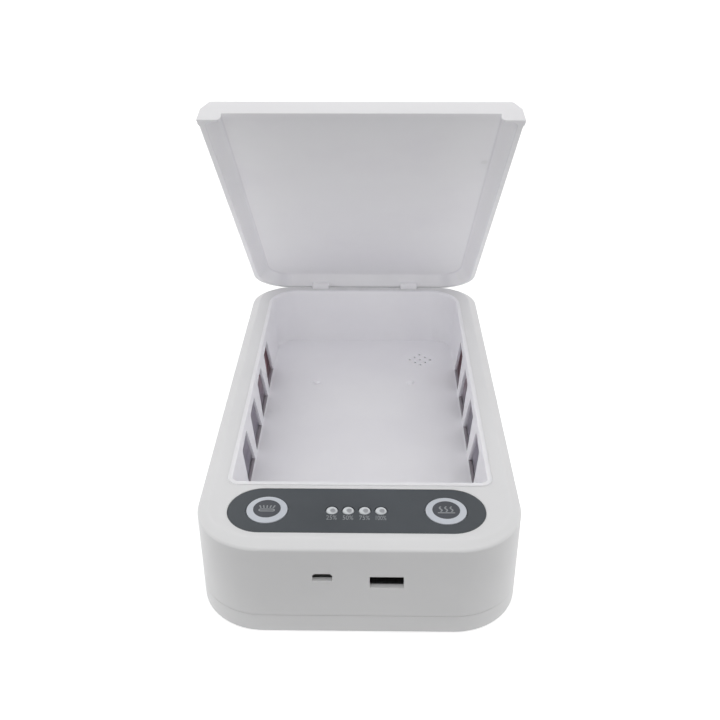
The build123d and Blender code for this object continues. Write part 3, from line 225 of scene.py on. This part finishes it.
def make_floor():
    """Pale seamless floor that keeps a faint shadow under the box."""
    bm = bmesh.new()
    bmesh.ops.create_grid(bm, x_segments=1, y_segments=1, size=FLOOR_SIZE / 2)
    mesh = bpy.data.meshes.new("floor")
    bm.to_mesh(mesh)
    bm.free()
    floor = new_object("floor", mesh)
    material = bpy.data.materials.new("floor_paper")
    material.use_nodes = True
    tree = material.node_tree
    tree.nodes.clear()
    output = tree.nodes.new("ShaderNodeOutputMaterial")
    place = tree.nodes.new("ShaderNodeTexCoord").outputs["Object"]
    total = 0.0
    for name, centre, radius, strength in FLOOR_POOLS:
        distance = tree.nodes.new("ShaderNodeVectorMath")
        distance.operation = "DISTANCE"
        distance.label = name
        distance.inputs[1].default_value = centre + (0.0,)
        tree.links.new(place, distance.inputs[0])
        share = math_node(tree, "DIVIDE", distance.outputs["Value"], radius)
        falling = math_node(tree, "MULTIPLY", math_node(tree, "MULTIPLY", share, share), -1.0)
        pool = math_node(tree, "MULTIPLY", math_node(tree, "EXPONENT", falling, 0.0), strength)
        total = math_node(tree, "ADD", pool, total)
    bounce = tree.nodes.new("ShaderNodeEmission")
    tree.links.new(total, bounce.inputs["Strength"])
    paper = tree.nodes.new("ShaderNodeBsdfDiffuse")
    paper.inputs["Color"].default_value = (FLOOR_ALBEDO, FLOOR_ALBEDO, FLOOR_ALBEDO, 1.0)
    glow = tree.nodes.new("ShaderNodeEmission")
    glow.inputs["Strength"].default_value = FLOOR_GLOW
    both = tree.nodes.new("ShaderNodeAddShader")
    mix = tree.nodes.new("ShaderNodeMixShader")
    tree.links.new(paper.outputs[0], both.inputs[0])
    tree.links.new(glow.outputs[0], both.inputs[1])
    tree.links.new(seen_directly(tree), mix.inputs["Fac"])
    tree.links.new(bounce.outputs[0], mix.inputs[1])
    tree.links.new(both.outputs[0], mix.inputs[2])
    tree.links.new(mix.outputs[0], output.inputs["Surface"])
    mesh.materials.append(material)


# ---------------------------------------------------------------- material helpers
class Finish:
    """A material under construction: its tree, its shader and its coordinates."""

    def __init__(self, name, **settings):
        self.material = bpy.data.materials.new(name)
        self.material.use_nodes = True
        self.tree = self.material.node_tree
        self.shader = self.tree.nodes["Principled BSDF"]
        coordinates = self.tree.nodes.new("ShaderNodeTexCoord")
        self.place = coordinates.outputs["Object"]
        self.normal = coordinates.outputs["Normal"]
        for socket, value in settings.items():
            self.shader.inputs[socket.replace("_", " ")].default_value = value

    def link(self, source, target):
        """Joins two sockets."""
        self.tree.links.new(source, target)

    def math(self, operation, first, second):
        """One maths node in this material."""
        return math_node(self.tree, operation, first, second)

    def parts(self, vector):
        """The three coordinates of a vector."""
        node = self.tree.nodes.new("ShaderNodeSeparateXYZ")
        self.link(vector, node.inputs[0])
        return node.outputs

    def multiply(self, first, second):
        """Two colour sockets multiplied."""
        node = self.tree.nodes.new("ShaderNodeVectorMath")
        node.operation = "MULTIPLY"
        self.link(first, node.inputs[0])
        self.link(second, node.inputs[1])
        return node.outputs[0]

    def between(self, value, low, high):
        """1 where the value lies between two limits."""
        above = self.math("GREATER_THAN", value, low)
        return self.math("MULTIPLY", above, self.math("LESS_THAN", value, high))

    def glow(self, strength, colour):
        """A little light given off, in a fixed colour."""
        self.shader.inputs["Emission Color"].default_value = tuple(colour) + (1.0,)
        self.link(strength, self.shader.inputs["Emission Strength"])

    def mix(self, factor, first, second):
        """A colour socket mixed towards a fixed colour."""
        node = self.tree.nodes.new("ShaderNodeMix")
        node.data_type = "RGBA"
        node.clamp_factor = True
        self.link(factor, node.inputs["Factor"])
        self.link(first, node.inputs[MIX_FIRST])
        node.inputs[MIX_SECOND].default_value = tuple(second) + (1.0,)
        return node.outputs[MIX_RESULT]

    def noise(self, scale, detail=3.0, stretch=None):
        """Noise over the object's coordinates, stretched along the axes if asked."""
        vector = self.place
        if stretch:
            mapping = self.tree.nodes.new("ShaderNodeMapping")
            mapping.inputs["Scale"].default_value = stretch
            self.link(vector, mapping.inputs["Vector"])
            vector = mapping.outputs["Vector"]
        node = self.tree.nodes.new("ShaderNodeTexNoise")
        node.inputs["Scale"].default_value = scale
        node.inputs["Detail"].default_value = detail
        self.link(vector, node.inputs["Vector"])
        return node.outputs["Fac"]

    def shades(self, factor, low, high, start=0.3, end=0.7):
        """Colour ramp between two colours."""
        ramp = self.tree.nodes.new("ShaderNodeValToRGB")
        first, last = ramp.color_ramp.elements
        first.position, last.position = start, end
        first.color, last.color = tuple(low) + (1.0,), tuple(high) + (1.0,)
        self.link(factor, ramp.inputs["Fac"])
        return ramp.outputs["Color"]

    def spread(self, factor, low, high):
        """Number range from a factor of 0 to 1."""
        ranged = self.tree.nodes.new("ShaderNodeMapRange")
        ranged.inputs["To Min"].default_value = low
        ranged.inputs["To Max"].default_value = high
        self.link(factor, ranged.inputs["Value"])
        return ranged.outputs["Result"]

    def colour(self, source):
        """Sets the base colour."""
        self.link(source, self.shader.inputs["Base Color"])

    def gloss(self, source):
        """Sets the roughness."""
        self.link(source, self.shader.inputs["Roughness"])

    def relief(self, height, strength, distance=0.2 * MM):
        """Small surface relief."""
        bump = self.tree.nodes.new("ShaderNodeBump")
        bump.inputs["Strength"].default_value = strength
        bump.inputs["Distance"].default_value = distance
        self.link(height, bump.inputs["Height"])
        self.link(bump.outputs["Normal"], self.shader.inputs["Normal"])


def tinted(colour, share):
    """A colour made lighter or darker by a share."""
    return tuple(min(1.0, channel * (1 + share)) for channel in colour)


def plastic(*settings, **named):
    """Moulded plastic with nothing more to it."""
    return plastic_finish(*settings, **named)[0].material


def plastic_finish(
    name, colour, roughness=0.45, spread=0.02, grain=1500.0, bump=0.05, specular=0.35, milky=0.0
):
    """Moulded plastic: faint clouds in colour and gloss, and a fine moulded grain."""
    finish = Finish(name, Specular_IOR_Level=specular, Subsurface_Weight=milky)
    finish.shader.inputs["Subsurface Radius"].default_value = WHITE
    finish.shader.inputs["Subsurface Scale"].default_value = MILK_DEPTH
    clouds = finish.noise(CLOUD_SCALE, CLOUD_DETAIL)
    cloudy = finish.shades(clouds, tinted(colour, -spread), tinted(colour, spread))
    finish.colour(cloudy)
    finish.gloss(finish.spread(clouds, roughness - PLASTIC_GLOSS_SPREAD, roughness + PLASTIC_GLOSS_SPREAD))
    finish.relief(finish.noise(grain, detail=2.0), bump)
    return finish, cloudy


def chamber_white(colour):
    """Chamber plastic: the edges of the lamp windows carry painted shade, darker from the inside out."""
    finish, cloudy = plastic_finish("tray_white", colour, roughness=0.4, milky=MILKY)
    x, y, z = finish.parts(finish.place)
    wall = finish.math("ADD", finish.math("MULTIPLY", z, WALL_LEAN), WALL_FOOT)
    outwards = finish.math("SUBTRACT", finish.math("ABSOLUTE", x, 0.0), wall)
    depth = finish.math("DIVIDE", outwards, WALL_THICKNESS)
    inside = finish.math("GREATER_THAN", depth, WINDOW_PAINTED_SHADE_START)
    below = finish.math("LESS_THAN", z, WINDOW_TOP)
    up = finish.math("MAXIMUM", finish.parts(finish.normal)[2], 0.0)
    growing = finish.math("MULTIPLY", depth, WINDOW_PAINTED_SHADE_BY_DEPTH)
    shade = finish.math("ADD", growing, finish.math("MULTIPLY", up, WINDOW_PAINTED_SHADE_ON_SILLS))
    shade = finish.math("MULTIPLY", finish.math("MULTIPLY", shade, inside), below)
    finish.colour(finish.mix(shade, cloudy, WINDOW_PAINTED_SHADE))
    return finish.material


def lid_white(colour):
    """Lid plastic: painted light makes it a little paler on its side slopes, painted shade a little deeper
    along the blend beside them.
    """
    finish, cloudy = plastic_finish("lid_white", colour, milky=MILKY)
    across = finish.math("ABSOLUTE", finish.parts(finish.normal)[0], 0.0)
    for level, start, end in (LID_BLEND_PAINTED_SHADE, LID_SLOPE_PAINTED_LIGHT):
        shade = finish.shades(across, WHITE, (level, level, level), start, end)
        cloudy = finish.multiply(cloudy, shade)
    finish.colour(cloudy)
    return finish.material


def shell_white(colour):
    """Housing plastic: matt, a little milky."""
    return plastic_finish("shell_white", colour, milky=MILKY)[0].material


def cover_white(colour):
    """Base pan plastic, with a painted brown glow of the lamp boots on it deep inside."""
    finish, _ = plastic_finish("cover_white", colour, milky=MILKY)
    x, y, z = finish.parts(finish.place)
    side = finish.between(finish.math("ABSOLUTE", x, 0.0), *BOOT_SIDE)
    deep = finish.math("MULTIPLY", finish.between(y, *BOOT_LENGTH), finish.between(z, *BOOT_HEIGHT))
    finish.glow(finish.math("MULTIPLY", side, deep), BOOT_LIGHT)
    return finish.material


def metal(name, colour, roughness, stretch=(1.0, 1.0, 1.0), scale=900.0, bump=0.05):
    """Metal with fine marks along one direction."""
    finish = Finish(name, Metallic=1.0)
    marks = finish.noise(scale, stretch=stretch)
    finish.colour(finish.shades(marks, low=tinted(colour, -0.12), high=tinted(colour, 0.06)))
    finish.gloss(finish.spread(marks, roughness - METAL_GLOSS_SPREAD, roughness + METAL_GLOSS_SPREAD))
    finish.relief(marks, bump)
    return finish.material


def rubber(name, colour, light=None):
    """Dull rubber with a dusty bloom, and a painted glow in the given light colour."""
    finish = Finish(name, Specular_IOR_Level=0.2)
    bloom = finish.noise(scale=160.0, detail=5.0)
    finish.colour(finish.shades(bloom, low=tinted(colour, -0.2), high=tinted(colour, 0.25)))
    finish.gloss(finish.spread(bloom, low=0.6, high=0.85))
    finish.relief(finish.noise(scale=1100.0), strength=0.12)
    if light:
        finish.glow(finish.spread(bloom, low=0.7, high=1.3), light)
    return finish.material


def lamp_glass():
    """Quartz tube: clear, with a faint lilac bloom."""
    finish = Finish("lamp_glass", Transmission_Weight=0.75, IOR=1.46)
    bloom = finish.noise(scale=90.0, detail=4.0, stretch=(1.0, 0.2, 1.0))
    finish.colour(finish.shades(bloom, low=(0.80, 0.78, 0.90), high=(0.93, 0.92, 0.97)))
    finish.gloss(finish.spread(bloom, low=0.04, high=0.18))
    return finish.material


def led_glow():
    """Milky lens: pale, with the darker die cup showing off its middle."""
    finish = Finish("led_lens", Specular_IOR_Level=0.5, Coat_Weight=0.3)
    local = finish.tree.nodes.new("ShaderNodeTexCoord").outputs["Generated"]
    offset = finish.tree.nodes.new("ShaderNodeVectorMath")
    offset.operation = "SUBTRACT"
    offset.inputs[1].default_value = LED_CUP_PLACE
    flat = finish.tree.nodes.new("ShaderNodeVectorMath")
    flat.operation = "MULTIPLY"
    flat.inputs[1].default_value = (1.0, 1.0, 0.0)
    finish.link(local, flat.inputs[0])
    finish.link(flat.outputs["Vector"], offset.inputs[0])
    length = finish.tree.nodes.new("ShaderNodeVectorMath")
    length.operation = "LENGTH"
    finish.link(offset.outputs["Vector"], length.inputs[0])
    cloud = finish.noise(scale=700.0, detail=2.0)
    edge = finish.math("ADD", length.outputs["Value"], finish.spread(cloud, low=-0.02, high=0.02))
    cup, lens = (0.33, 0.34, 0.36), (0.66, 0.69, 0.71)
    finish.colour(finish.shades(edge, low=cup, high=lens, start=0.14, end=0.22))
    finish.gloss(finish.spread(cloud, low=0.18, high=0.30))
    return finish.material


def circuit_board():
    """Green solder mask over a fine maze of copper tracks."""
    finish = Finish("circuit_board", Coat_Weight=0.3)
    tracks = finish.tree.nodes.new("ShaderNodeTexBrick")
    tracks.inputs["Scale"].default_value = 260.0
    tracks.inputs["Color1"].default_value = (0.012, 0.09, 0.035, 1.0)
    tracks.inputs["Color2"].default_value = (0.016, 0.12, 0.045, 1.0)
    tracks.inputs["Mortar"].default_value = (0.03, 0.20, 0.07, 1.0)
    tracks.inputs["Mortar Size"].default_value = 0.03
    finish.link(finish.place, tracks.inputs["Vector"])
    finish.colour(tracks.outputs["Color"])
    finish.gloss(finish.spread(finish.noise(scale=300.0), low=0.25, high=0.4))
    finish.relief(tracks.outputs["Fac"], strength=0.2)
    return finish.material


def felt(name, colour):
    """Pressed fibres."""
    finish = Finish(name, Sheen_Weight=0.4)
    fibres = finish.noise(scale=1800.0, detail=6.0, stretch=(1.0, 1.0, 0.3))
    finish.colour(finish.shades(fibres, low=tinted(colour, -0.15), high=tinted(colour, 0.08)))
    finish.gloss(finish.spread(fibres, low=0.85, high=1.0))
    finish.relief(fibres, strength=0.6)
    return finish.material


def make_finishes():
    """Every finish of the box by name."""
    housing = (0.785, 0.785, 0.79)
    # fine marks run along the long side of each formed sheet or pin
    along_y, along_x, along_z = (1.0, 0.05, 1.0), (0.05, 1.0, 1.0), (1.0, 1.0, 0.1)
    return {
        "shell": shell_white(housing),
        "cover": cover_white(housing),
        "lid": lid_white((0.925, 0.918, 0.95)),
        "tray": chamber_white((0.91, 0.903, 0.94)),
        "panel": plastic(
            "panel_dark",
            (0.074, 0.083, 0.092),
            roughness=0.4,
            spread=0.12,
            grain=1200.0,
            bump=0.08,
            specular=0.3,
        ),
        "cap": plastic(
            "button_dark",
            (0.080, 0.086, 0.098),
            roughness=0.35,
            spread=0.1,
            grain=1200.0,
            bump=0.06,
            specular=0.3,
        ),
        "ring": plastic(
            "ring_pearl",
            (0.58, 0.61, 0.66),
            roughness=0.3,
            spread=0.03,
            grain=900.0,
            bump=0.03,
            specular=0.4,
        ),
        "mark": plastic(
            "mark_grey",
            (0.31, 0.325, 0.34),
            roughness=0.5,
            spread=0.1,
            grain=2000.0,
            bump=0.05,
            specular=0.3,
        ),
        "led": led_glow(),
        "glass": lamp_glass(),
        # the lamp boots glow with painted brown light
        "boot": rubber("boot_brown", (0.27, 0.16, 0.175), BOOT_LIGHT),
        "foot": rubber("foot_grey", (0.12, 0.12, 0.125)),
        "socket": metal("socket_steel", (0.62, 0.62, 0.63), roughness=0.3, stretch=along_y),
        "core": plastic("socket_core", (0.018, 0.018, 0.02), roughness=0.5, spread=0.2),
        "micro_shell": metal("micro_socket_steel", (0.10, 0.10, 0.105), roughness=0.5, stretch=along_y),
        "screw": metal("screw_steel", (0.55, 0.55, 0.56), roughness=0.35, stretch=along_z),
        "pin": metal("pin_steel", (0.66, 0.66, 0.67), roughness=0.22, stretch=along_x),
        "magnet": plastic("magnet_white", (0.88, 0.875, 0.90), roughness=0.4, spread=0.03, milky=MILKY),
        "reflector": metal(
            "reflector_satin", (0.93, 0.91, 0.96), roughness=0.5, stretch=along_y, scale=500.0
        ),
        "board": circuit_board(),
        "component": plastic(
            "component_black",
            (0.03, 0.03, 0.033),
            roughness=0.5,
            spread=0.25,
            grain=2200.0,
            bump=0.15,
        ),
        "sleeve": plastic("capacitor_sleeve", (0.03, 0.05, 0.16), roughness=0.3, spread=0.15),
        "connector": plastic("connector_cream", (0.72, 0.68, 0.56), roughness=0.5, spread=0.06),
        "lead": plastic("lead_white", (0.74, 0.74, 0.74), roughness=0.4, spread=0.05),
        "wire": metal("lead_wire", (0.72, 0.72, 0.73), roughness=0.25),
        "felt": felt("aroma_felt", (0.30, 0.28, 0.27)),
        "heater": metal("heater_metal", (0.75, 0.75, 0.76), roughness=0.3, scale=600.0),
    }


# which finish each node gets, by the first part of its name that matches
NODE_FINISHES = (
    ("outer_housing", "shell"),
    ("bottom_cover", "cover"),
    ("lid_shell", "lid"),
    ("lid_magnet", "magnet"),
    ("lid_sensor", "component"),
    ("chamber_tray", "tray"),
    ("control_panel", "panel"),
    ("control_board", "board"),
    ("sterilize_button_cap", "cap"),
    ("aroma_button_cap", "cap"),
    ("sterilize_button_ring", "ring"),
    ("aroma_button_ring", "ring"),
    ("sterilize_switch", "component"),
    ("aroma_switch", "component"),
    ("progress_led", "led"),
    ("led_leads", "wire"),
    ("usb_a_core", "core"),
    ("micro_usb_core", "core"),
    ("usb_a_shell", "socket"),
    ("micro_usb_shell", "micro_shell"),
    ("inverter_transformer", "component"),
    ("controller_chip", "component"),
    ("filter_capacitor", "sleeve"),
    ("lamp_connectors", "connector"),
    ("lamp_boot", "boot"),
    ("lamp_leads", "lead"),
    ("lamp_reflector", "reflector"),
    ("uv_lamp", "glass"),
    ("hinge_pin", "pin"),
    ("foot_", "foot"),
    ("housing_screws", "screw"),
    ("tray_screws", "screw"),
    ("board_screws", "screw"),
    ("aroma_heater", "heater"),
    ("aroma_pad", "felt"),
)


def dress_nodes(finishes):
    """Gives each CAD node its finish."""
    for name, node in NODES.items():
        key = next(finish for start, finish in NODE_FINISHES if name.startswith(start))
        if not node.material_slots:
            node.data.materials.append(finishes[key])
        for slot in node.material_slots:
            slot.link = "OBJECT"
            slot.material = finishes[key]


# ---------------------------------------------------------------- raised marks
def arc(x, y, radius_x, radius_y, start, end, steps=10):
    """Points along an ellipse, from one angle to another in degrees."""
    angles = [radians(start + (end - start) * step / steps) for step in range(steps + 1)]
    return [(x + radius_x * cos(angle), y + radius_y * sin(angle)) for angle in angles]


def ribbon(bm, points, width, place):
    """Flat raised stroke with round ends and joints along points, standing on place."""
    half = width / 2
    for index, (x, y) in enumerate(points):
        rise = MARK_HEIGHT + index * STROKE_STEP
        outline = arc(x, y, half, half, 0, 360 - 360 / ROUND_CORNERS, ROUND_CORNERS - 1)
        if index:
            back_x, back_y = points[index - 1]
            run = Vector((x - back_x, y - back_y))
            if run.length < SHORTEST_RUN:
                continue
            side = Vector((-run.y, run.x)).normalized() * half
            quad = [
                (back_x + side.x, back_y + side.y),
                (back_x - side.x, back_y - side.y),
                (x - side.x, y - side.y),
                (x + side.x, y + side.y),
            ]
            prism(bm, quad, place, rise + STROKE_STEP / 2)
        prism(bm, outline, place, rise)


def prism(bm, outline, place, rise):
    """Thin upright plate of the given outline, in mm."""
    low = [bm.verts.new((place + Vector((x, y, 0))) * MM) for x, y in outline]
    high = [bm.verts.new((place + Vector((x, y, rise))) * MM) for x, y in outline]
    bm.faces.new(reversed(low))
    bm.faces.new(high)
    count = len(outline)
    for index in range(count):
        following = (index + 1) % count
        bm.faces.new((low[index], low[following], high[following], high[index]))


def finish_mark(bm, name, material, body):
    """Turns strokes into a piece that rides on its body."""
    bmesh.ops.recalc_face_normals(bm, faces=bm.faces)
    mesh = bpy.data.meshes.new(name)
    bm.to_mesh(mesh)
    bm.free()
    mesh.materials.append(material)
    piece = new_object(name, mesh)
    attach(piece, body)


def text_mesh(text, material):
    """Raised figures as a mesh of no set size, from Blender's own plain font."""
    curve = bpy.data.curves.new(text, "FONT")
    curve.body = text
    curve.extrude = TEXT_THICKNESS
    outline = bpy.data.objects.new(text, curve)
    bpy.context.scene.collection.objects.link(outline)
    bpy.context.view_layer.update()
    evaluated = outline.evaluated_get(bpy.context.evaluated_depsgraph_get())
    mesh = bpy.data.meshes.new_from_object(evaluated)
    bpy.data.objects.remove(outline)
    mesh.materials.clear()
    mesh.materials.append(material)
    return mesh


def fit_mesh(mesh, low, high):
    """Stretches a mesh so that it fills the box from low to high, in mm."""
    places = [vertex.co for vertex in mesh.vertices]
    start = [min(place[axis] for place in places) for axis in range(3)]
    end = [max(place[axis] for place in places) for axis in range(3)]
    for place in places:
        for axis in range(3):
            share = (place[axis] - start[axis]) / (end[axis] - start[axis])
            place[axis] = (low[axis] + share * (high[axis] - low[axis])) * MM


def make_numbers(material):
    """The generic figures 25, 50, 75 and 100 per cent below the four progress lights."""
    panel_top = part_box("control_panel")[1][2] / MM
    for number in range(1, LED_COUNT + 1):
        low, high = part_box(f"progress_led_{number}")
        middle_x = (low[0] + high[0]) / 2 / MM
        middle_y = (low[1] + high[1]) / 2 / MM - NUMBER_DROP
        mesh = text_mesh(f"{LED_SHARE * number}%", material)
        mesh.name = f"progress_number_{LED_SHARE * number}"
        fit_mesh(
            mesh,
            (middle_x - NUMBER_WIDTH / 2, middle_y - NUMBER_HEIGHT / 2, panel_top),
            (middle_x + NUMBER_WIDTH / 2, middle_y + NUMBER_HEIGHT / 2, panel_top + MARK_HEIGHT),
        )
        piece = new_object(mesh.name, mesh)
        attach(piece, "base")


def button_top(name):
    """Centre of a button's face in mm."""
    low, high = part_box(f"{name}_button_cap")
    return Vector(((low[0] + high[0]) / 2, (low[1] + high[1]) / 2, high[2])) / MM


def make_symbols(material):
    """Generic signs on the two buttons: a lamp tube with rays, and rising scent."""
    bm = bmesh.new()
    place = button_top("sterilize")
    tube = arc(TUBE_HALF_LENGTH, TUBE_Y, TUBE_RADIUS, TUBE_RADIUS, 90, -90, TUBE_END_STEPS)
    tube += arc(-TUBE_HALF_LENGTH, TUBE_Y, TUBE_RADIUS, TUBE_RADIUS, 270, 90, TUBE_END_STEPS)
    ribbon(bm, tube + tube[:1], SYMBOL_WIDTH, place)
    for ray in RAYS:
        ends = [(ray * RAY_FOOT_PITCH, RAY_FOOT_Y), (ray * RAY_TIP_PITCH, RAY_TIP_Y)]
        ribbon(bm, ends, SYMBOL_WIDTH, place)
    finish_mark(bm, "sterilize_symbol", material, "sterilize_button")

    bm = bmesh.new()
    place = button_top("aroma")
    for middle in WAVE_PLACES:
        wave = [
            (middle + WAVE_SWING * sin(2 * pi * step / WAVE_STEPS), WAVE_FOOT_Y + WAVE_STEP_HEIGHT * step)
            for step in range(WAVE_STEPS + 1)
        ]
        ribbon(bm, wave, SYMBOL_WIDTH, place)
    ribbon(bm, [(-PLATE_HALF_LENGTH, PLATE_Y), (PLATE_HALF_LENGTH, PLATE_Y)], SYMBOL_WIDTH, place)
    finish_mark(bm, "aroma_symbol", material, "aroma_button")


make_camera()
make_world()
make_floor()
FINISHES = make_finishes()
dress_nodes(FINISHES)
make_numbers(FINISHES["mark"])
make_symbols(FINISHES["mark"])

bpy.context.scene.view_settings.view_transform = "Standard"
